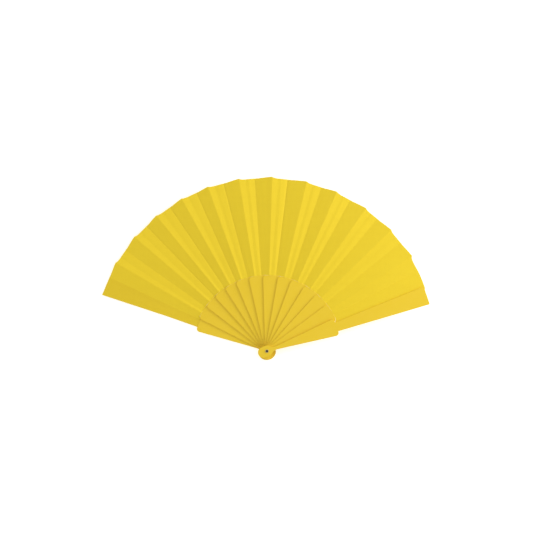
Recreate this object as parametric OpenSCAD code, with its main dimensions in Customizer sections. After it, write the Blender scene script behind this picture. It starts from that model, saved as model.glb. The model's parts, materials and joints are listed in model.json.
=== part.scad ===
// Folding hand fan: twelve inner sticks between two guards on one rivet, with one pleated cloth leaf.
// The fan lies open on the flat outer face of its back guard. Millimetres.
// The rivet's axis is +Z at the origin, z = 0 is the outer face of the back guard, and +Y is the fan's
// middle.
// Stick 0 is the back guard, sticks 1 to 12 are the inner ones, and stick 13 is the front guard.

/* [Spread] */
// Direction of the back guard, anticlockwise from +X, in degrees
back_angle = 157.7; // [150:0.1:165]
// Half the angle of each leaf panel that is glued to a stick
panel_half_angle = 2.6; // [2.2:0.1:3]

/* [Sticks] */
// Distance from the rivet to the round end of a stick's head
head_l = 11.6; // [10:0.1:13]
// Half width of a stick's head
head_half_w = 6.7; // [6:0.1:8]
// Distance from the rivet to the shoulders of an inner stick's blade
blade_l = 95.2; // [85:0.1:95.2]
// Half width that the sides of an inner stick's blade would have at the rivet
blade_root_half_w = 2.3; // [1:0.1:4]
// Half width that an inner stick's blade gains for each millimetre of its length
blade_flare = 0.104; // [0.08:0.001:0.11]
// Radius of the hollow between the head and each side of the blade
neck_fillet_r = 12; // [8:0.5:16]
// Radius of the corners of a blade
shoulder_r = 4; // [2:0.2:5]
// Thickness of an inner stick's blade
blade_t = 0.9; // [0.9:0.1:1.2]
// Space between one stick and the next
layer_gap = 0.1; // [0.05:0.05:0.2]

/* [Ribs under the leaf] */
// Width of an inner stick's rib where it leaves the blade
rib_base_w = 4.2; // [4:0.2:6]
// Width of an inner stick's rib at its tip
rib_tip_w = 3.2; // [3:0.2:4]
// Thickness of an inner stick's rib
rib_t = 0.5; // [0.4:0.05:0.5]
// Distance from the rivet to the tip of an inner stick's rib
rib_l = 214; // [200:1:214]

/* [Guards] */
// Thickness of each guard
guard_t = 2; // [1.6:0.1:3]
// Distance from the rivet to the shoulders of a guard's blade
guard_blade_l = 92.8; // [85:0.1:95.2]
// Half width that the sides of a guard's blade would have at the rivet
guard_root_half_w = 0.6; // [0.3:0.1:3]
// Half width that a guard's blade gains for each millimetre of its length
guard_flare = 0.114; // [0.09:0.001:0.12]
// Half width that the sides of a guard's arm would have at the rivet
arm_root_half_w = 1.3; // [0:0.1:1.6]
// Half width that a guard's arm gains for each millimetre of its length
arm_flare = 0.049; // [0.03:0.001:0.05]
// Distance from the rivet to the square tip of a guard
guard_l = 212; // [205:1:212]
// Radius of the corners of a guard's tip
guard_corner_r = 1.4; // [0.5:0.1:3]
// Depth of the seat that the leaf's end is glued into on each guard
seat_depth = 0.4; // [0.3:0.05:0.6]

/* [Leaf] */
// Radius that the leaf's raised folds would have at the back guard
leaf_r = 220.8; // [218:0.1:225]
// How much shorter the leaf is at its sunken folds
valley_drop = 2.1; // [0:0.1:3]
// How much shorter the leaf gets from the back guard to the front one
leaf_taper = 3.5; // [0:0.1:3.5]
// Radius of the leaf's inner edge
leaf_inner_r = 95.4; // [95.4:0.1:100]
// Thickness of the cloth
cloth_t = 0.15; // [0.1:0.05:0.15]
// Greatest height of a fold above or below its rib, at the leaf's outer edge
pleat_h = 1; // [0:0.1:2]
// Fall of the sunken folds of the sticks near the back guard, where the cloth is drawn tight
tight_fall = 0.35; // [0:0.05:0.7]
// Rise of the leaf's end panel from the back guard to its first fold
end_lift = 0.3; // [0:0.05:0.3]
// How many sticks next to the back guard have the cloth drawn tight
tight_sticks = 5; // [0:1:8]
// Angle that the leaf's end laps past the back guard's middle line, at the inner edge
inner_lap_angle = 3.1; // [2.8:0.05:4]
// Angle that the leaf's end laps past the back guard's middle line, at the outer edge
outer_lap_angle = 3.65; // [2.8:0.05:4]

/* [Rivet] */
// Radius of the rivet's shank
pin_r = 1; // [0.8:0.1:1.5]
// Running clearance round the shank
running_gap = 0.05; // [0.01:0.01:0.1]
// Radius of the rivet's front head
cap_r = 2; // [2:0.1:3]
// Height of the rivet's front head
cap_h = 0.6; // [0.5:0.1:0.6]
// Radius of the round hollow in the rivet's front head
dimple_r = 1.5; // [0.5:0.1:1.6]
// Depth of the hollow
dimple_depth = 0.4; // [0.1:0.1:0.4]
// Radius of the washer under the rivet's spread tail
washer_r = 2.5; // [2.2:0.1:4]

/* [Hidden] */

PLASTIC = [0.89, 0.75, 0.2];
CLOTH = [0.94, 0.83, 0.22];
METAL = [0.8, 0.8, 0.82];

// Angle from each stick to the next one, clockwise: a fan opened by hand spreads a little unevenly
GAPS = [10.5, 10.5, 10, 10, 9.5, 10.5, 11, 11.5, 10.5, 11, 11, 11, 11.5];
LAST = len(GAPS);

BORE_FN = 48;
HEAD_STEP = 6;
CORNER_STEPS = 8;
// Points of a blade's round end, as shares of the angle of its shoulder
END_SHARES = [0.4, 0.2, 0];

layer_pitch = blade_t + layer_gap;
rib_lift = blade_t - rib_t - 0.25;
stack_h = 2 * guard_t + layer_gap + (LAST - 1) * layer_pitch;
bore_r = pin_r + running_gap;
arm_start = blade_l - 12;

// Closed, the pleats of neighbouring sticks lie on each other and need this much room
cloth_room = 0.3;
washer_t = 0.3;
tail_t = 0.4;
tail_r = 1.6;
tail_lift = 0.1;
counterbore_r = washer_r + 0.2;
counterbore_depth = tail_lift + tail_t + washer_t;
head_clearance = 0.05;

function two_digits(i) = str(i < 10 ? "0" : "", i);
function gap_sum(i) = i == 0 ? 0 : GAPS[i - 1] + gap_sum(i - 1);
function stick_angle(i) = back_angle - gap_sum(i);
function layer_z(i) = i == 0 ? 0 : guard_t + layer_gap + (i - 1) * layer_pitch;

// Height of the underside of the cloth where it lies on stick i
function seat_z(i) =
    i == 0 ? guard_t - seat_depth :
    i == LAST ? layer_z(i) + seat_depth - cloth_t :
    layer_z(i) + rib_lift + rib_t;

// Rise of the raised fold left of stick i, and fall of the sunken fold right of it, at the outer edge.
// They shrink towards the guards, so that the closed stack of pleats fits between them.
pleat_step = min(0.55, layer_pitch - cloth_room - cloth_t);
function fold_rise(i) = i == 0 || i == LAST ? 0 :
    min(pleat_h, seat_z(LAST) - seat_z(LAST - 1) - cloth_room - cloth_t + pleat_step * (LAST - 1 - i));
function fold_fall(i) = i == 0 ? -end_lift : i == LAST ? 0 :
    min(i > tight_sticks ? pleat_h : tight_fall,
        seat_z(1) - seat_z(0) - end_lift - cloth_room - cloth_t + pleat_step * (i - 1));

function taper(i) = leaf_taper * i / LAST;
function raised_fold_r(i) = i == 0 ? leaf_r - 1.3 : i == LAST ? guard_l + 1.3 : leaf_r - taper(i);
function sunken_fold_r(i) =
    i == 0 ? leaf_r - 2 :
    i == LAST - 1 ? guard_l + 2.3 :
    i == LAST ? guard_l - 0.5 :
    leaf_r - valley_drop - taper(i);

function polar(r, a) = [r * cos(a), r * sin(a)];
function unit(v) = v / norm(v);
function heading(v) = atan2(v[1], v[0]);
function short_turn(a) = a > 180 ? a - 360 : a < -180 ? a + 360 : a;

// Points of the arc of radius r that rounds the corner at p, coming from p0 and leaving towards p1
function corner(p0, p, p1, r) =
    let (
        u = unit(p0 - p),
        v = unit(p1 - p),
        half = acos(u * v) / 2,
        middle = p + unit(u + v) * r / sin(half),
        a0 = heading(p + u * r / tan(half) - middle),
        turn = short_turn(heading(p + v * r / tan(half) - middle) - a0)
    )
    [for (k = [0 : CORNER_STEPS]) middle + polar(r, a0 + turn * k / CORNER_STEPS)];

function mirrored(points) = [for (k = [len(points) - 1 : -1 : 0]) [points[k][0], -points[k][1]]];

// Centre of the hollow of radius neck_fillet_r that touches the head and the blade's side
function neck_centre(root_half_w, flare) =
    let (
        slant = norm([1, flare]),
        dx = -neck_fillet_r * flare / slant,
        dy = root_half_w + neck_fillet_r / slant,
        reach = head_half_w + neck_fillet_r,
        b = dx + flare * dy,
        x = (-b + sqrt(b * b - slant * slant * (dx * dx + dy * dy - reach * reach))) / (slant * slant)
    )
    [x + dx, flare * x + dy];

// Point of the blade's side that is as far from the rivet as the middle of its end
function shoulder_tip(length, root_half_w, flare) =
    let (
        slant = norm([1, flare]),
        b = flare * root_half_w,
        spare = root_half_w * root_half_w - length * length,
        x = (-b + sqrt(b * b - slant * slant * spare)) / (slant * slant)
    )
    [x, root_half_w + flare * x];

// One side of the blade from the end of the head to the middle of its round other end, the stick along +X.
// The head is a bar with a round end behind the rivet, and the open fan's heads make up a round boss.
function blade_side(length, root_half_w, flare) =
    let (
        end_middle = [head_half_w - head_l, 0],
        shoulder = shoulder_tip(length, root_half_w, flare),
        shoulder_angle = heading(shoulder),
        centre = neck_centre(root_half_w, flare),
        neck_angle = heading(centre),
        side_angle = atan(flare) - 90,
        turn = side_angle - (neck_angle - 180),
        side_start = centre + polar(neck_fillet_r, side_angle)
    )
    concat(
        [for (a = [180 : -HEAD_STEP : 90]) end_middle + polar(head_half_w, a)],
        [for (a = [90 : -HEAD_STEP : neck_angle + HEAD_STEP / 2]) polar(head_half_w, a)],
        [for (k = [0 : CORNER_STEPS])
            centre + polar(neck_fillet_r, neck_angle - 180 + turn * k / CORNER_STEPS)],
        corner(side_start, shoulder, polar(length, shoulder_angle * END_SHARES[0]), shoulder_r),
        [for (share = END_SHARES) polar(length, shoulder_angle * share)]
    );

module blade_outline(length, root_half_w, flare) {
    side = blade_side(length, root_half_w, flare);
    back = mirrored(side);
    // both ends of a side lie on the middle line, so the mirrored side leaves them out
    polygon(concat(side, [for (k = [1 : len(back) - 2]) back[k]]));
}

module arm_outline(base_half_w, tip_half_w, tip_x, corner_r) {
    base = [arm_start, base_half_w];
    tip = [tip_x, tip_half_w];
    side = concat([base], corner(base, tip, [tip_x, 0], corner_r));
    polygon(concat(side, mirrored(side)));
}

module rivet_bore() {
    translate([0, 0, -1])
        cylinder(r = bore_r, h = stack_h + 2, $fn = BORE_FN);
}

module inner_blade() {
    blade_outline(blade_l, blade_root_half_w, blade_flare);
}

module guard_blade() {
    blade_outline(guard_blade_l, guard_root_half_w, guard_flare);
}

module guard_arm() {
    arm_outline(
        arm_root_half_w + arm_flare * arm_start,
        arm_root_half_w + arm_flare * guard_l,
        guard_l, guard_corner_r
    );
}

module back_guard() {
    color(PLASTIC)
        rotate([0, 0, stick_angle(0)])
            difference() {
                union() {
                    linear_extrude(guard_t) guard_blade();
                    linear_extrude(guard_t - seat_depth) guard_arm();
                }
                rivet_bore();
                translate([0, 0, -1])
                    cylinder(r = counterbore_r, h = counterbore_depth + 1, $fn = BORE_FN);
            }
}

module front_guard() {
    color(PLASTIC)
        rotate([0, 0, stick_angle(LAST)])
            difference() {
                union() {
                    translate([0, 0, layer_z(LAST)])
                        linear_extrude(guard_t) guard_blade();
                    translate([0, 0, layer_z(LAST) + seat_depth])
                        linear_extrude(guard_t - seat_depth) guard_arm();
                }
                rivet_bore();
            }
}

module inner_stick(i) {
    color(PLASTIC)
        rotate([0, 0, stick_angle(i)])
            difference() {
                union() {
                    translate([0, 0, layer_z(i)])
                        linear_extrude(blade_t) inner_blade();
                    translate([0, 0, layer_z(i) + rib_lift])
                        linear_extrude(rib_t) arm_outline(rib_base_w / 2, rib_tip_w / 2, rib_l, 1);
                }
                rivet_bore();
            }
}

module rivet_pin() {
    cap_z = stack_h + head_clearance;
    top_z = cap_z + cap_h;
    edge_r = cap_h / 2;
    color(METAL)
        rotate_extrude($fn = BORE_FN)
            polygon(concat(
                [[0, tail_lift], [tail_r, tail_lift]],
                [[tail_r, tail_lift + tail_t], [pin_r, tail_lift + tail_t]],
                [[pin_r, cap_z], [cap_r, cap_z]],
                [for (a = [0 : 15 : 90]) [cap_r - edge_r, top_z - edge_r] + polar(edge_r, a)],
                [[dimple_r, top_z], [dimple_r, top_z - dimple_depth], [0, top_z - dimple_depth]]
            ));
}

module rivet_washer() {
    color(METAL)
        translate([0, 0, tail_lift + tail_t])
            difference() {
                cylinder(r = washer_r, h = washer_t, $fn = BORE_FN);
                translate([0, 0, -1])
                    cylinder(r = bore_r, h = washer_t + 2, $fn = BORE_FN);
            }
}

// A strip of cloth between two rows of points on its underside, one row at each edge of the leaf.
// The points of its upper side follow those of its underside, from number t on.
module cloth(inner, outer) {
    n = len(inner);
    up = [0, 0, cloth_t];
    points = concat(inner, outer, [for (p = inner) p + up], [for (p = outer) p + up]);
    t = 2 * n;
    faces = concat(
        [for (k = [0 : n - 2]) each [[k, n + k, k + 1], [n + k, n + k + 1, k + 1]]],
        [for (k = [0 : n - 2]) each [[t + k, t + k + 1, t + n + k], [t + n + k, t + k + 1, t + n + k + 1]]],
        [for (k = [0 : n - 2]) each [[k, k + 1, t + k + 1], [k, t + k + 1, t + k]]],
        [for (k = [0 : n - 2]) each [[n + k, t + n + k + 1, n + k + 1], [n + k, t + n + k, t + n + k + 1]]],
        [[0, t, n], [n, t, t + n]],
        [[n - 1, 2 * n - 1, t + n - 1], [2 * n - 1, t + 2 * n - 1, t + n - 1]]
    );
    polyhedron(points, faces);
}

function lap_angle(r) =
    inner_lap_angle + (outer_lap_angle - inner_lap_angle) * (r - leaf_inner_r) / (leaf_r - leaf_inner_r);
function left_angle(i, r) = i == 0 ? lap_angle(r) : panel_half_angle;
function raised_point(i, r) =
    concat(polar(r, stick_angle(i) + left_angle(i, r)), seat_z(i) + fold_rise(i) * r / leaf_r);
function sunken_point(i, r) =
    concat(polar(r, stick_angle(i) - panel_half_angle), seat_z(i) - fold_fall(i) * r / leaf_r);

// Point of the straight edge from the raised fold to the sunken one that lies y left of the stick's middle
function edge_point(i, r0, r1, y) =
    let (
        p0 = polar(r0, left_angle(i, r0)),
        p1 = polar(r1, -panel_half_angle),
        p = p0 + (p1 - p0) * (p0[1] - y) / (p0[1] - p1[1])
    )
    concat(polar(norm(p), stick_angle(i) + heading(p)), seat_z(i));

function panel_edge(i, r0, r1, half_w) = [
    raised_point(i, r0),
    edge_point(i, r0, r1, half_w),
    edge_point(i, r0, r1, -half_w),
    sunken_point(i, r1)
];

// The part of the leaf that is glued to stick i: flat on its rib and sloping away on both sides
module leaf_panel(i) {
    color(CLOTH)
        cloth(
            panel_edge(i, leaf_inner_r, leaf_inner_r, rib_base_w / 2),
            panel_edge(i, raised_fold_r(i), sunken_fold_r(i), rib_tip_w / 2)
        );
}

// The free part of the leaf between stick i - 1 and stick i
module leaf_fold(i) {
    color(CLOTH)
        cloth(
            [sunken_point(i - 1, leaf_inner_r), raised_point(i, leaf_inner_r)],
            [sunken_point(i - 1, sunken_fold_r(i - 1)), raised_point(i, raised_fold_r(i))]
        );
}

back_guard();
for (i = [1 : LAST - 1]) inner_stick(i);
front_guard();
rivet_pin();
rivet_washer();
for (i = [0 : LAST]) leaf_panel(i);
for (i = [1 : LAST]) leaf_fold(i);
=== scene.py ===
"""Looks of a folding hand fan, lying open on its back guard: moulded sticks, a rivet and a pleated leaf.

Everything is in metres in the CAD frame: the rivet's axis is +Z at the origin and the fan opens towards +Y.
Stick 0 is the back guard, sticks 1 to 12 are the inner ones, and stick 13 is the front guard.
"""
import json
import math

import bmesh
import bpy
import numpy as np
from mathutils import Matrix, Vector, noise


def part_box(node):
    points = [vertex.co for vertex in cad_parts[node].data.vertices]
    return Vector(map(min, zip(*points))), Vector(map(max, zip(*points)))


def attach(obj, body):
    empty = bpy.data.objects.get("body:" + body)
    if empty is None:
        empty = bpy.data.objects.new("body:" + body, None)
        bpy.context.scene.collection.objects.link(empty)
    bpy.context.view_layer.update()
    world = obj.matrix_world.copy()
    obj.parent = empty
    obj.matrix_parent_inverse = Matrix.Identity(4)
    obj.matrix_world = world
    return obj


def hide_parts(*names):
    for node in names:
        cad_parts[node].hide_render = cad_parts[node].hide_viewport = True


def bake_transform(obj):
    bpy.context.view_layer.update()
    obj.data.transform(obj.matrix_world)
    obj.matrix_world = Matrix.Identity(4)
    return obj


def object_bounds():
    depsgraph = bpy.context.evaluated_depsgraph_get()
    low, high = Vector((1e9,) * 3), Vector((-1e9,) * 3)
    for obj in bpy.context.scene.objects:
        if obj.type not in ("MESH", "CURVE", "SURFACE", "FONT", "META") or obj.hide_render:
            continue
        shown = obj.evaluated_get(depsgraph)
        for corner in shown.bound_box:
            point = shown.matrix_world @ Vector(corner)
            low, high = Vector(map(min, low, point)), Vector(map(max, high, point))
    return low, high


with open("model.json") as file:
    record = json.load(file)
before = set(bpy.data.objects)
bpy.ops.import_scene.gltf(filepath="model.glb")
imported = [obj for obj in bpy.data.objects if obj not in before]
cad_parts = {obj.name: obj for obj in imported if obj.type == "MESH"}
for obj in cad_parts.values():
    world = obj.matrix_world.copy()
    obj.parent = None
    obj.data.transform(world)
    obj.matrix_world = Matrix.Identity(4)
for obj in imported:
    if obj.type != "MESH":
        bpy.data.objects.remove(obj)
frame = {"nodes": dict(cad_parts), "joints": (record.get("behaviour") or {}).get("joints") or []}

cad_low, cad_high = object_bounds()
NODES = frame["nodes"]
JOINTS = sorted(frame["joints"], key=lambda joint: joint["name"])
STICKS = ["back_guard"] + [joint["child"] for joint in JOINTS]
LAST = len(STICKS) - 1
WHITE = (1, 1, 1, 1)
BLACK = (0, 0, 0, 1)
UP = np.array([0, 0, 1])

# Sizes that the CAD part has too
CLOTH_T = 0.00015
RIB_BASE_HALF = 0.0021
RIB_TIP_HALF = 0.0016
BLADE_END_R = 0.0952
SHANK_R = 0.001
TAIL_R = 0.0016
CAP_H = 0.0006
DIMPLE_R = 0.0015
DIMPLE_DEPTH = 0.0004


# ---------------------------------------------------------------- camera, light and floor

VIEW_WIDTH = 0.6697              # width of the view at the height of the fan
VIEW_CENTRE = (-0.0006, 0.1060)  # middle of the view, from the rivet
LENS_MM = 120.0
SENSOR_MM = 36.0
CLIP = (0.05, 20)
KEY_PLACE = (0.90, 0.48, 0.30)
KEY_TARGET = (0, 0.1, 0)
KEY_SIZE = (0.54, 0.40)
KEY_WATTS = 7.2
TENT_LEFT = 0.81
TENT_RIGHT = 1.03
# The hole in the tent: height of the directions where it begins and is full, and the light left in it
HOLE_EDGE = (math.cos(math.radians(24)), math.cos(math.radians(14)))
HOLE_SHARE = 0.25
FLOOR_HALF = 6
FLOOR_DROP = 0.0002
FLOOR_GLOW = 0.4
FLOOR_DARK = (0.925, 0.925, 0.925)
FLOOR_PALE = (0.935, 0.935, 0.935)


def make_camera():
    data = bpy.data.cameras.new("camera")
    data.lens = LENS_MM
    data.sensor_width = SENSOR_MM
    data.clip_start, data.clip_end = CLIP
    camera = bpy.data.objects.new("camera", data)
    height = VIEW_WIDTH * LENS_MM / SENSOR_MM
    camera.location = (*VIEW_CENTRE, cad_high.z / 2 + height)
    bpy.context.scene.collection.objects.link(camera)
    bpy.context.scene.camera = camera


def make_key():
    """A soft box low on the right."""
    data = bpy.data.lights.new("key", "AREA")
    data.shape = "RECTANGLE"
    data.size, data.size_y = KEY_SIZE
    data.energy = KEY_WATTS
    key = bpy.data.objects.new("key", data)
    key.location = KEY_PLACE
    key.rotation_euler = (Vector(KEY_TARGET) - Vector(KEY_PLACE)).to_track_quat("-Z", "Y").to_euler()
    bpy.context.scene.collection.objects.link(key)


def make_tent():
    """A white tent, brighter on the right and with a dark hole above the camera."""
    world = bpy.data.worlds.new("studio")
    world.use_nodes = True
    nodes, links = world.node_tree.nodes, world.node_tree.links

    def map_range(value, low, high):
        node = nodes.new("ShaderNodeMapRange")
        for socket, number in zip(("From Min", "From Max", "To Min", "To Max"), (*low, *high)):
            node.inputs[socket].default_value = number
        links.new(value, node.inputs["Value"])
        return node.outputs[0]

    direction = nodes.new("ShaderNodeTexCoord")
    axes = nodes.new("ShaderNodeSeparateXYZ")
    links.new(direction.outputs["Generated"], axes.inputs[0])
    tent = map_range(axes.outputs["X"], (-1, 1), (TENT_LEFT, TENT_RIGHT))
    hole = map_range(axes.outputs["Z"], HOLE_EDGE, (1, HOLE_SHARE))
    both = nodes.new("ShaderNodeMath")
    both.operation = "MULTIPLY"
    links.new(tent, both.inputs[0])
    links.new(hole, both.inputs[1])
    background = nodes["Background"]
    background.inputs["Color"].default_value = WHITE
    links.new(both.outputs[0], background.inputs["Strength"])
    bpy.context.scene.world = world
    bpy.context.scene.view_settings.view_transform = "Standard"


def make_floor(material):
    signs = ((-1, -1), (1, -1), (1, 1), (-1, 1))
    corners = [(x * FLOOR_HALF, y * FLOOR_HALF, -FLOOR_DROP) for x, y in signs]
    mesh = bpy.data.meshes.new("floor")
    mesh.from_pydata(corners, [], [(0, 1, 2, 3)])
    floor = bpy.data.objects.new("floor", mesh)
    bpy.context.scene.collection.objects.link(floor)
    floor.data.materials.append(material)


# ---------------------------------------------------------------- materials

PLASTIC_DARK = (0.784, 0.541, 0.018)
PLASTIC_PALE = (0.812, 0.567, 0.022)
CLOTH_DARK = (0.765, 0.550, 0.016)
CLOTH_PALE = (0.835, 0.620, 0.024)
# Painted shade: a darker copy of the cloth's colours for the end panel on the back guard, which lies in
# more shade
END_SHADE_DARK = (0.715, 0.503, 0.015)
END_SHADE_PALE = (0.778, 0.562, 0.021)
# Painted shade: a near-black colour put in the rivet's hollow in place of the shade and dark reflections
# there
HOLLOW_SHADE_PAINT = (0.09, 0.07, 0.04)
NICKEL = (0.55, 0.52, 0.46)
THREAD_PITCH = 0.0003
SLUB_STRETCH = 0.06    # how much coarser a slub's noise is along its thread
HOLLOW_SHADE_FADE = 0.00025   # how far the painted shade of the rivet's hollow fades out onto its rim
NOISE_MIDDLE = (0.3, 0.7)


class Shader:
    """A node material on one Principled shader, built by wiring nodes to its sockets."""

    def __init__(self, name, **sockets):
        self.material = bpy.data.materials.new(name)
        self.material.use_nodes = True
        self.tree = self.material.node_tree
        self.principled = self.tree.nodes["Principled BSDF"]
        for socket, value in sockets.items():
            self.principled.inputs[socket.replace("_", " ")].default_value = value

    def add(self, kind, inputs=None, **settings):
        node = self.tree.nodes.new(kind)
        for key, value in settings.items():
            setattr(node, key, value)
        for key, value in (inputs or {}).items():
            if isinstance(value, bpy.types.NodeSocket):
                self.tree.links.new(value, node.inputs[key])
            else:
                node.inputs[key].default_value = value
        return node

    def link(self, output, socket):
        self.tree.links.new(output, self.principled.inputs[socket])

    def place(self, scale=(1, 1, 1)):
        coordinates = self.add("ShaderNodeTexCoord").outputs["Object"]
        return self.add("ShaderNodeMapping", {"Vector": coordinates, "Scale": scale}).outputs[0]

    def noise(self, scale, detail, stretch=(1, 1, 1)):
        return self.add("ShaderNodeTexNoise", {
            "Vector": self.place(stretch), "Scale": scale, "Detail": detail,
        }).outputs["Fac"]

    def math(self, operation, *values):
        return self.add("ShaderNodeMath", dict(enumerate(values)), operation=operation).outputs[0]

    def map_range(self, value, start, end, low, high):
        return self.add("ShaderNodeMapRange", {
            "Value": value, "From Min": start, "From Max": end, "To Min": low, "To Max": high,
        }).outputs[0]

    def mix_colour(self, factor, a, b):
        return self.add("ShaderNodeMix", {0: factor, 6: (*a, 1), 7: (*b, 1)}, data_type="RGBA").outputs[2]

    def bump(self, height, distance, strength, **under):
        inputs = {"Height": height, "Distance": distance, "Strength": strength, **under}
        return self.add("ShaderNodeBump", inputs).outputs[0]


def plastic_material():
    """Satin yellow moulding: fine eroded grain, faint flow marks and slow waves from cooling."""
    shader = Shader("moulded_yellow", IOR=1.47)
    shader.link(shader.mix_colour(shader.noise(22, 3), PLASTIC_DARK, PLASTIC_PALE), "Base Color")
    shader.link(shader.map_range(shader.noise(160, 4), *NOISE_MIDDLE, 0.36, 0.50), "Roughness")
    waves = shader.bump(shader.noise(28, 1), 0.0006, 0.15)
    shader.link(shader.bump(shader.noise(2600, 2), 0.00002, 0.5, Normal=waves), "Normal")
    return shader.material


def cloth_material(name, dark, pale):
    """Plain-woven polyester: crossing threads, slubs in both directions and a soft sheen."""
    shader = Shader(name, IOR=1.45, Specular_IOR_Level=0.3, Sheen_Weight=0.06, Sheen_Roughness=0.4)
    crossing = shader.place((math.pi / THREAD_PITCH, math.pi / THREAD_PITCH, 1))
    place = shader.add("ShaderNodeSeparateXYZ", {0: crossing})
    warp = shader.math("ABSOLUTE", shader.math("SINE", place.outputs[0]))
    weft = shader.math("ABSOLUTE", shader.math("SINE", place.outputs[1]))
    over = shader.add("ShaderNodeTexChecker", {
        "Vector": shader.place(), "Scale": 1 / THREAD_PITCH, "Color1": WHITE, "Color2": BLACK,
    }).outputs["Fac"]
    threads = shader.add("ShaderNodeMix", {0: over, 2: warp, 3: weft}, data_type="FLOAT").outputs[0]
    slub_x = shader.noise(260, 2, (SLUB_STRETCH, 1, 1))
    slub_y = shader.noise(260, 2, (1, SLUB_STRETCH, 1))
    slubs = shader.math("MULTIPLY", shader.math("ADD", slub_x, slub_y), 0.5)
    patches = shader.math("MULTIPLY", shader.noise(14, 3), 0.3)
    tone = shader.math("ADD", shader.math("MULTIPLY", slubs, 0.7), patches)
    shader.link(shader.mix_colour(tone, dark, pale), "Base Color")
    shader.link(shader.map_range(slubs, *NOISE_MIDDLE, 0.56, 0.70), "Roughness")
    soft = shader.bump(shader.noise(120, 3), 0.0002, 0.25)
    shader.link(shader.bump(threads, 0.00004, 0.45, Normal=soft), "Normal")
    return shader.material


def metal_material():
    """Nickel-plated steel, lightly brushed by the rivet press, with painted shade darkening its hollow."""
    shader = Shader("nickel_plate", Metallic=1.0)
    flat = shader.place((1, 1, 0))
    middle = shader.add("ShaderNodeVectorMath", {0: flat}, operation="LENGTH").outputs["Value"]
    # Painted shade: near-black inside the hollow's radius, fading to nickel over its rim
    unshaded = shader.map_range(middle, DIMPLE_R, DIMPLE_R + HOLLOW_SHADE_FADE, 0.0, 1.0)
    shader.link(shader.mix_colour(unshaded, HOLLOW_SHADE_PAINT, NICKEL), "Base Color")
    shader.link(shader.map_range(shader.noise(900, 3), *NOISE_MIDDLE, 0.18, 0.34), "Roughness")
    shader.link(shader.bump(shader.noise(3000, 2, (1, 0.2, 1)), 0.00001, 0.4), "Normal")
    return shader.material


def floor_material():
    shader = Shader("studio_floor", Roughness=0.9, Specular_IOR_Level=0.0,
                    Emission_Color=WHITE, Emission_Strength=FLOOR_GLOW)
    shader.link(shader.mix_colour(shader.noise(3, 2), FLOOR_DARK, FLOOR_PALE), "Base Color")
    return shader.material


# ---------------------------------------------------------------- pieces in general

WELD = 1e-6              # points nearer than this are one
COPLANAR = math.radians(0.5)
EDGE_ANGLE = math.radians(40)
EDGE_SEGMENTS = 3
LATHE_STEPS = 72


def show(name, mesh, material, body, node):
    """Adds a piece that takes the place of a CAD node, and rides on a body if one is given."""
    piece = bpy.data.objects.new(name, mesh)
    bpy.context.scene.collection.objects.link(piece)
    mesh.materials.clear()
    mesh.materials.append(material)
    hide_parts(node)
    if body is not None:
        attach(piece, body)
    return piece


def soften_edges(piece, width, segments=EDGE_SEGMENTS):
    """Rounds the edges of a moulding and keeps its flat faces flat."""
    for polygon in piece.data.polygons:
        polygon.use_smooth = True
    bevel = piece.modifiers.new("edges", "BEVEL")
    bevel.width, bevel.segments = width, segments
    bevel.limit_method, bevel.angle_limit = "ANGLE", EDGE_ANGLE
    flats = piece.modifiers.new("flats", "WEIGHTED_NORMAL")
    flats.mode = "FACE_AREA"


def clean_copy(node):
    """The node's mesh with its flat faces whole again, so that a bevel runs evenly round them."""
    mesh = NODES[node].data.copy()
    bm = bmesh.new()
    bm.from_mesh(mesh)
    bmesh.ops.remove_doubles(bm, verts=bm.verts, dist=WELD)
    bmesh.ops.dissolve_limit(bm, angle_limit=COPLANAR, verts=bm.verts, edges=bm.edges)
    bm.to_mesh(mesh)
    bm.free()
    return mesh


def lathe(name, profile):
    """A solid of revolution about +Z from (radius, height) points that start and end on the axis."""
    (_, low), *rings, (_, high) = profile
    turns = [2 * math.pi * k / LATHE_STEPS for k in range(LATHE_STEPS)]
    points = [(radius * math.cos(t), radius * math.sin(t), z) for radius, z in rings for t in turns]
    bottom, top = len(points), len(points) + 1
    points += [(0, 0, low), (0, 0, high)]
    first = np.arange(len(rings) * LATHE_STEPS).reshape(len(rings), LATHE_STEPS)
    after = np.roll(first, -1, axis=1)
    walls = np.stack([first[:-1], after[:-1], after[1:], first[1:]], axis=-1).reshape(-1, 4).tolist()
    ends = [(bottom, b, a) for a, b in zip(first[0].tolist(), after[0].tolist())]
    ends += [(top, a, b) for a, b in zip(first[-1].tolist(), after[-1].tolist())]
    mesh = bpy.data.meshes.new(name)
    mesh.from_pydata(points, [], walls + ends)
    for polygon in mesh.polygons:
        polygon.use_smooth = True
    return mesh


# ---------------------------------------------------------------- sticks and rivet

GUARD_EDGE = 0.00045
STICK_EDGE = 0.0002
WASHER_EDGE = 0.00006
TAIL_EDGE = 0.0001
TAIL_STEPS = 3
CAP_UNDERCUT = 0.00015   # chamfer under the rivet's head
DIMPLE_EDGE = 0.0001
ROLL_STEPS = 6


def make_sticks(material):
    for i, stick in enumerate(STICKS):
        piece = show(f"{stick}_moulding", clean_copy(stick), material, stick, stick)
        soften_edges(piece, GUARD_EDGE if i in (0, LAST) else STICK_EDGE)


def quarter(radius, height, r, steps):
    """A rounded edge, from the side wall at radius up to the flat at height."""
    turns = [math.pi / 2 * k / steps for k in range(steps + 1)]
    return [(radius - r + r * math.cos(t), height - r + r * math.sin(t)) for t in turns]


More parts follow.
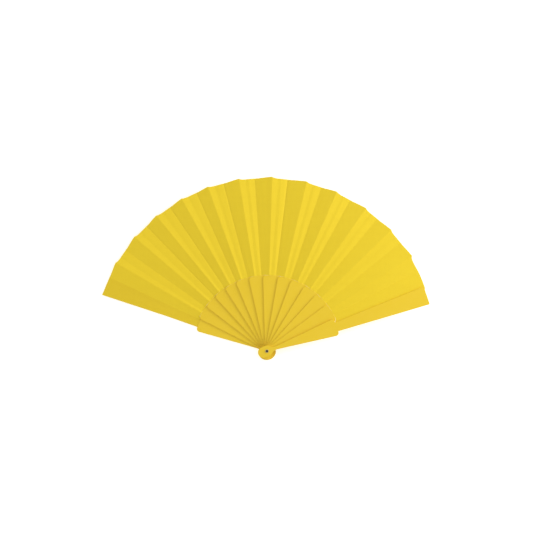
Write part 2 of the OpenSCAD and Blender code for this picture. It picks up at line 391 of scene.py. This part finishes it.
def make_rivet(material):
    """One turned solid up its axis: the spread tail, the shank, the flat head and the hollow in it."""
    low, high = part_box("rivet_pin")
    washer_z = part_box("rivet_washer")[0].z
    cap = high.x
    roll = (cap - DIMPLE_R) / 2
    brim = high.z - CAP_H
    tail_edge = quarter(TAIL_R, washer_z, TAIL_EDGE, TAIL_STEPS)
    tail = [(x, low.z + washer_z - z) for x, z in reversed(tail_edge)]
    shank = [(TAIL_R, washer_z), (SHANK_R, washer_z), (SHANK_R, brim)]
    head = [(cap - CAP_UNDERCUT, brim), (cap, brim + CAP_UNDERCUT)]
    head += quarter(cap, high.z, roll, ROLL_STEPS)
    turns = [math.pi / 2 * k / ROLL_STEPS for k in range(1, ROLL_STEPS + 1)]
    rim = [(DIMPLE_R + roll - roll * math.sin(t), high.z - roll + roll * math.cos(t)) for t in turns]
    floor_z = high.z - DIMPLE_DEPTH
    dish = [(DIMPLE_R, floor_z + DIMPLE_EDGE), (DIMPLE_R - DIMPLE_EDGE, floor_z), (0, floor_z)]
    mesh = lathe("rivet_with_cap", [(0, low.z)] + tail + shank + head + rim + dish)
    show("rivet_with_cap", mesh, material, "back_guard", "rivet_pin")
    washer_mesh = clean_copy("rivet_washer")
    washer = show("rivet_ring", washer_mesh, material, "back_guard", "rivet_washer")
    soften_edges(washer, WASHER_EDGE, 2)


# ---------------------------------------------------------------- the leaf

RIB_TIP_SPAN = 0.002   # the part of a stick's length, back from its tip, whose middle gives its heading
ARM_R = 0.2            # beyond this radius a stick is only its rib or arm
ROWS = 56
RELIEF = 0.00009       # height of the cloth's soft unevenness
RELIEF_CLEAR = 0.003   # how far from a rib's edge the unevenness is at its full height
SAME_ANGLE = 1e-4      # corners of a CAD panel whose directions differ by less are on one fold
FOLD_WANDER = 0.00006  # how far a fold strays from a straight line
EASE_SHARE = 0.125     # share of a fold's length, from its inner end, in which straying and grooves begin
RIB_EDGE_R = 0.0004    # how tightly the cloth bends over a rib's edge
CREASE_WIDTH = 0.0007  # how far the groove of a sharp crease reaches
SHARP_CREASES = (2, 3, 4, 5, 7)   # sticks whose sunken fold was pressed to a sharp crease
SHARP_DEPTH = 0.0002
SOFT_DEPTH = 0.00003
POINT_WIDTH = 0.15     # share of a panel's width in which its cut edge falls from the point
CLIMB_START = 0.2      # share of a fold's width after which its cut edge climbs to the next point
LEAF_GAP = 0.00003     # between the blades' round ends and the leaf
END_REACH = 0.0022     # how much nearer to the rivet the leaf starts at the guards' shorter blades
# Share of the width of the first and the last fold at which that reach ends, and in which it fades
BACK_REACH = (0.42, 0.3)
FRONT_REACH = (0.54, 0.2)
# A panel's columns of points: distances from its folds, and outwards from the edges of its rib
NEAR_FOLD = np.array([0, 0.0004, 0.0009, 0.0015, 0.0023, 0.0034, 0.0047])
NEAR_RIB = np.array([0.0016, 0.0008, 0.0003, 0, -0.0005, -0.0012])
# A fold's columns of points: shares of its width
FOLD_COLUMNS = np.array([0, 0.03, 0.07, 0.12, 0.2, 0.3, 0.4, 0.5, 0.6, 0.7, 0.8, 0.88, 0.94, 1])
SHARP_ANGLE = math.radians(50)
# Noise along a fold for its straying: coarseness, step from fold to fold, seed
SIDEWAYS = (5, 7.3, 1.7)
UPWARDS = (4, 5.1, 9.2)
# Noise for the unevenness: coarseness across and along a pleat, and how the drags lean
DRAG_RATES = (5.5, 1.6)
DRAG_LEAN = 0.8
RIPPLE_RATES = (11, 5)
RIPPLE_SHARE = 0.35
RIPPLE_SEED = 40
FOLD_SEED = 100
WINDOW_POWER = 0.7     # below 1, the unevenness dies out only close to the folds


class Fold:
    """A fold line of the leaf: the underside's points at its two ends, taken from a panel's CAD solid."""

    def __init__(self, number, points, side, crease=0.0):
        angles = np.arctan2(points[:, 1], points[:, 0])
        radii = np.hypot(points[:, 0], points[:, 1])
        near = radii < (radii.min() + radii.max()) / 2
        self.number = number
        self.crease = crease
        self.inner, self.outer = (
            self.lowest(points[end & np.isclose(angles, side(angles[end]), atol=SAME_ANGLE)])
            for end in (near, ~near)
        )
        self.angle = math.atan2(self.outer[1], self.outer[0])
        self.radius = float(np.hypot(*self.outer[:2]))

    @staticmethod
    def lowest(points):
        return points[points[:, 2].argmin()]

    def groove(self, v, distance):
        """How far the crease's groove lowers the cloth at a distance from it."""
        return self.crease * np.minimum(1, v / EASE_SHARE) * np.exp(-distance / CREASE_WIDTH)

    def line(self, v):
        """Points at shares v of its length, straying a little as a pressed fold does."""
        straight = self.inner + v[:, None] * (self.outer - self.inner)
        across = np.array([-math.sin(self.angle), math.cos(self.angle), 0])
        side, up = self.stray(v, *SIDEWAYS), self.stray(v, *UPWARDS)
        return straight + FOLD_WANDER * (side[:, None] * across + up[:, None] * UP)

    def stray(self, v, rate, step, seed):
        """Smooth noise along the fold, none at its inner end."""
        values = np.array([noise.noise((x * rate, self.number * step, seed)) for x in v])
        return values * np.minimum(1, v / EASE_SHARE)


def node_points(node):
    return np.array([vertex.co for vertex in NODES[node].data.vertices])


def panel_node(i):
    return f"leaf_panel_{i:02d}"


def fold_node(i):
    return f"leaf_fold_{i:02d}"


def panel_folds(i):
    """(raised fold on the left, sunken fold on the right) of the panel on stick i."""
    points = node_points(panel_node(i))
    crease = SHARP_DEPTH if i in SHARP_CREASES else SOFT_DEPTH
    return Fold(2 * i, points, np.max), Fold(2 * i + 1, points, np.min, crease)


def stick_across(i):
    """Unit vector to the left of stick i's middle line."""
    points = node_points(STICKS[i])
    radii = np.hypot(points[:, 0], points[:, 1])
    tip = points[radii > radii.max() - RIB_TIP_SPAN].mean(axis=0)
    heading = tip[:2] / np.linalg.norm(tip[:2])
    return np.array([-heading[1], heading[0]])


def seat_height(i):
    """Height of the cloth's underside where it lies on stick i, or under the front guard."""
    points = node_points(STICKS[i])
    arm = points[np.hypot(points[:, 0], points[:, 1]) > ARM_R, 2]
    return arm.min() - CLOTH_T if i == LAST else arm.max()


def relief(u, v, seed):
    """Soft unevenness of the cloth between two folds, none at the folds: long drags along the pleat."""
    heights = np.zeros(u.shape)
    for index, (a, b) in enumerate(zip(u.ravel(), v.ravel())):
        drag = noise.noise((a * DRAG_RATES[0] + DRAG_LEAN * b, b * DRAG_RATES[1], seed))
        ripple = noise.noise((a * RIPPLE_RATES[0], b * RIPPLE_RATES[1], seed + RIPPLE_SEED))
        heights.flat[index] = drag + RIPPLE_SHARE * ripple
    window = np.clip(np.sin(math.pi * u), 0, 1) ** WINDOW_POWER
    return RELIEF * heights * window


def ramp(distance, full):
    """0 up to a rib's edge and then a straight slope to 1 at full, with a small bend at the edge."""
    def bent(x):
        return (np.sqrt(x * x + RIB_EDGE_R ** 2) + x) / 2
    return (bent(distance) - bent(0)) / (bent(full) - bent(0))


def cloth_mesh(name, under):
    """A thin closed sheet on a grid of underside points, rows by columns."""
    rows, columns = under.shape[:2]
    count = rows * columns
    low = under.reshape(-1, 3)
    high = low + CLOTH_T * UP
    grid = np.arange(count).reshape(rows, columns)
    a, b, c, d = grid[:-1, :-1], grid[:-1, 1:], grid[1:, 1:], grid[1:, :-1]
    bottom = np.stack([a, b, c, d], axis=-1).reshape(-1, 4)
    top = bottom[:, ::-1] + count
    rim = np.concatenate([grid[0, ::-1], grid[1:, 0], grid[-1, 1:], grid[-2:0:-1, -1]])
    after = np.roll(rim, -1)
    sides = np.stack([rim, after, after + count, rim + count], axis=-1)
    mesh = bpy.data.meshes.new(name)
    points, faces = np.concatenate([low, high]), np.concatenate([bottom, top, sides])
    mesh.from_pydata(points.tolist(), [], faces.tolist())
    smooth = np.ones(len(mesh.polygons), bool)
    smooth[2 * len(bottom):] = False
    mesh.polygons.foreach_set("use_smooth", smooth)
    bm = bmesh.new()
    bm.from_mesh(mesh)
    bmesh.ops.recalc_face_normals(bm, faces=bm.faces)
    bm.to_mesh(mesh)
    bm.free()
    mesh.set_sharp_from_angle(angle=SHARP_ANGLE)
    return mesh


def between(left, right, columns, share, reach):
    """Underside points between two folds.

    share(u) says how far the cut edge's radius has gone from the left fold's to the right fold's, and
    reach(u) how much of END_REACH the inner edge takes.
    """
    v = np.linspace(0, 1, ROWS)
    start, end = left.line(v), right.line(v)
    under = start[:, None] + columns[None, :, None] * (end - start)[:, None]
    edge = left.radius + share(columns) * (right.radius - left.radius)
    radii = np.hypot(under[..., 0], under[..., 1])
    inner = BLADE_END_R + LEAF_GAP - END_REACH * reach(columns)
    wanted = radii + (1 - v[:, None]) * (inner - radii[0]) + v[:, None] * (edge - radii[-1])
    under[..., :2] *= (wanted / radii)[..., None]
    return under


def falls_away(u):
    """The cut edge right of a raised fold: it drops from the fold's point within a few millimetres."""
    return (1 - np.exp(-u / POINT_WIDTH)) / (1 - math.exp(-1 / POINT_WIDTH))


def climbs(u):
    """The cut edge from a sunken fold up to the next point."""
    return np.clip((u - CLIMB_START) / (1 - CLIMB_START), 0, 1)


def panel_reach(i):
    """On the guards the leaf starts nearer to the rivet."""
    return np.ones_like if i in (0, LAST) else np.zeros_like


def fold_reach(i):
    """Beside the guards it does so as far as it clears the sticks' blades."""
    if i == 1:
        end, fade = BACK_REACH
        return lambda u: np.clip((end - u) / fade, 0, 1)
    if i == LAST:
        end, fade = FRONT_REACH
        return lambda u: np.clip((u - end) / fade, 0, 1)
    return np.zeros_like


def panel_columns(left, right, across):
    """Shares of the panel's width: closer together near the folds and the rib's edges."""
    a, b = left.outer[:2] @ across, right.outer[:2] @ across
    left_part = np.concatenate([a - NEAR_FOLD, RIB_BASE_HALF + NEAR_RIB])
    right_part = np.concatenate([-RIB_BASE_HALF - NEAR_RIB[::-1], b + NEAR_FOLD[::-1]])
    return (a - np.concatenate([left_part, [0], right_part])) / (a - b)


def make_panel(i, material):
    """The cloth glued to stick i: flat on its rib and sloping away to a fold on each side."""
    left, right = panel_folds(i)
    across = stick_across(i)
    columns = panel_columns(left, right, across)
    under = between(left, right, columns, falls_away, panel_reach(i))
    if i != LAST:
        v = np.linspace(0, 1, ROWS)[:, None]
        u = np.broadcast_to(columns, under.shape[:2])
        seat = seat_height(i)
        rib = RIB_BASE_HALF + v * (RIB_TIP_HALF - RIB_BASE_HALF)
        aside = under[..., :2] @ across
        rise = under[:, :1, 2] - seat
        fall = seat - under[:, -1:, 2]
        raised = ramp(aside - rib, aside[:, :1] - rib)
        sunken = ramp(-aside - rib, -aside[:, -1:] - rib)
        off_rib = np.clip((np.abs(aside) - rib) / RELIEF_CLEAR, 0, 1)
        under[..., 2] = seat + rise * raised - fall * sunken
        under[..., 2] += relief(u, np.broadcast_to(v, u.shape), i) * off_rib
        under[..., 2] -= right.groove(v, aside - aside[:, -1:])
    show_cloth(panel_node(i), cloth_mesh(panel_node(i), under), material, STICKS[i])


def make_fold(i, material):
    """The free cloth between stick i - 1 and stick i, which on the real fan folds shut as they meet; the
    piece rides on no body.
    """
    left, right = panel_folds(i - 1)[1], panel_folds(i)[0]
    under = between(left, right, FOLD_COLUMNS, climbs, fold_reach(i))
    v = np.linspace(0, 1, ROWS)[:, None]
    u = np.broadcast_to(FOLD_COLUMNS, under.shape[:2])
    under[..., 2] += relief(u, np.broadcast_to(v, u.shape), FOLD_SEED + i)
    distance = np.linalg.norm(under - under[:, :1], axis=-1)
    under[..., 2] -= left.groove(v, distance)
    piece = show_cloth(fold_node(i), cloth_mesh(fold_node(i), under), material, None)
    blend_by_angle(piece)


def show_cloth(node, mesh, material, body):
    piece = show(f"{node}_cloth", mesh, material, body, node)
    return piece


def blend_by_angle(piece):
    """Writes the piece's points unrolled by direction from the rivet, bakes its transform, and puts its
    true points back.
    """
    vertices = piece.data.vertices
    true = np.zeros(len(vertices) * 3, np.float32)
    vertices.foreach_get("co", true)
    points = true.reshape(-1, 3)
    directions = np.arctan2(points[:, 1], points[:, 0])
    unrolled = np.stack([directions, points[:, 2], 0 * directions], axis=-1)
    vertices.foreach_set("co", unrolled.ravel())
    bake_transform(piece)
    vertices.foreach_set("co", true)
    piece.data.update()


# ---------------------------------------------------------------- the whole

make_camera()
make_key()
make_tent()
make_floor(floor_material())
make_sticks(plastic_material())
make_rivet(metal_material())
cloth = cloth_material("woven_polyester", CLOTH_DARK, CLOTH_PALE)
# A shaded copy of the cloth, painted darker for the end panel: painted shade
shaded_end_cloth = cloth_material("shaded_end_polyester", END_SHADE_DARK, END_SHADE_PALE)
for number in range(LAST + 1):
    make_panel(number, cloth if number else shaded_end_cloth)
for number in range(1, LAST + 1):
    make_fold(number, cloth)
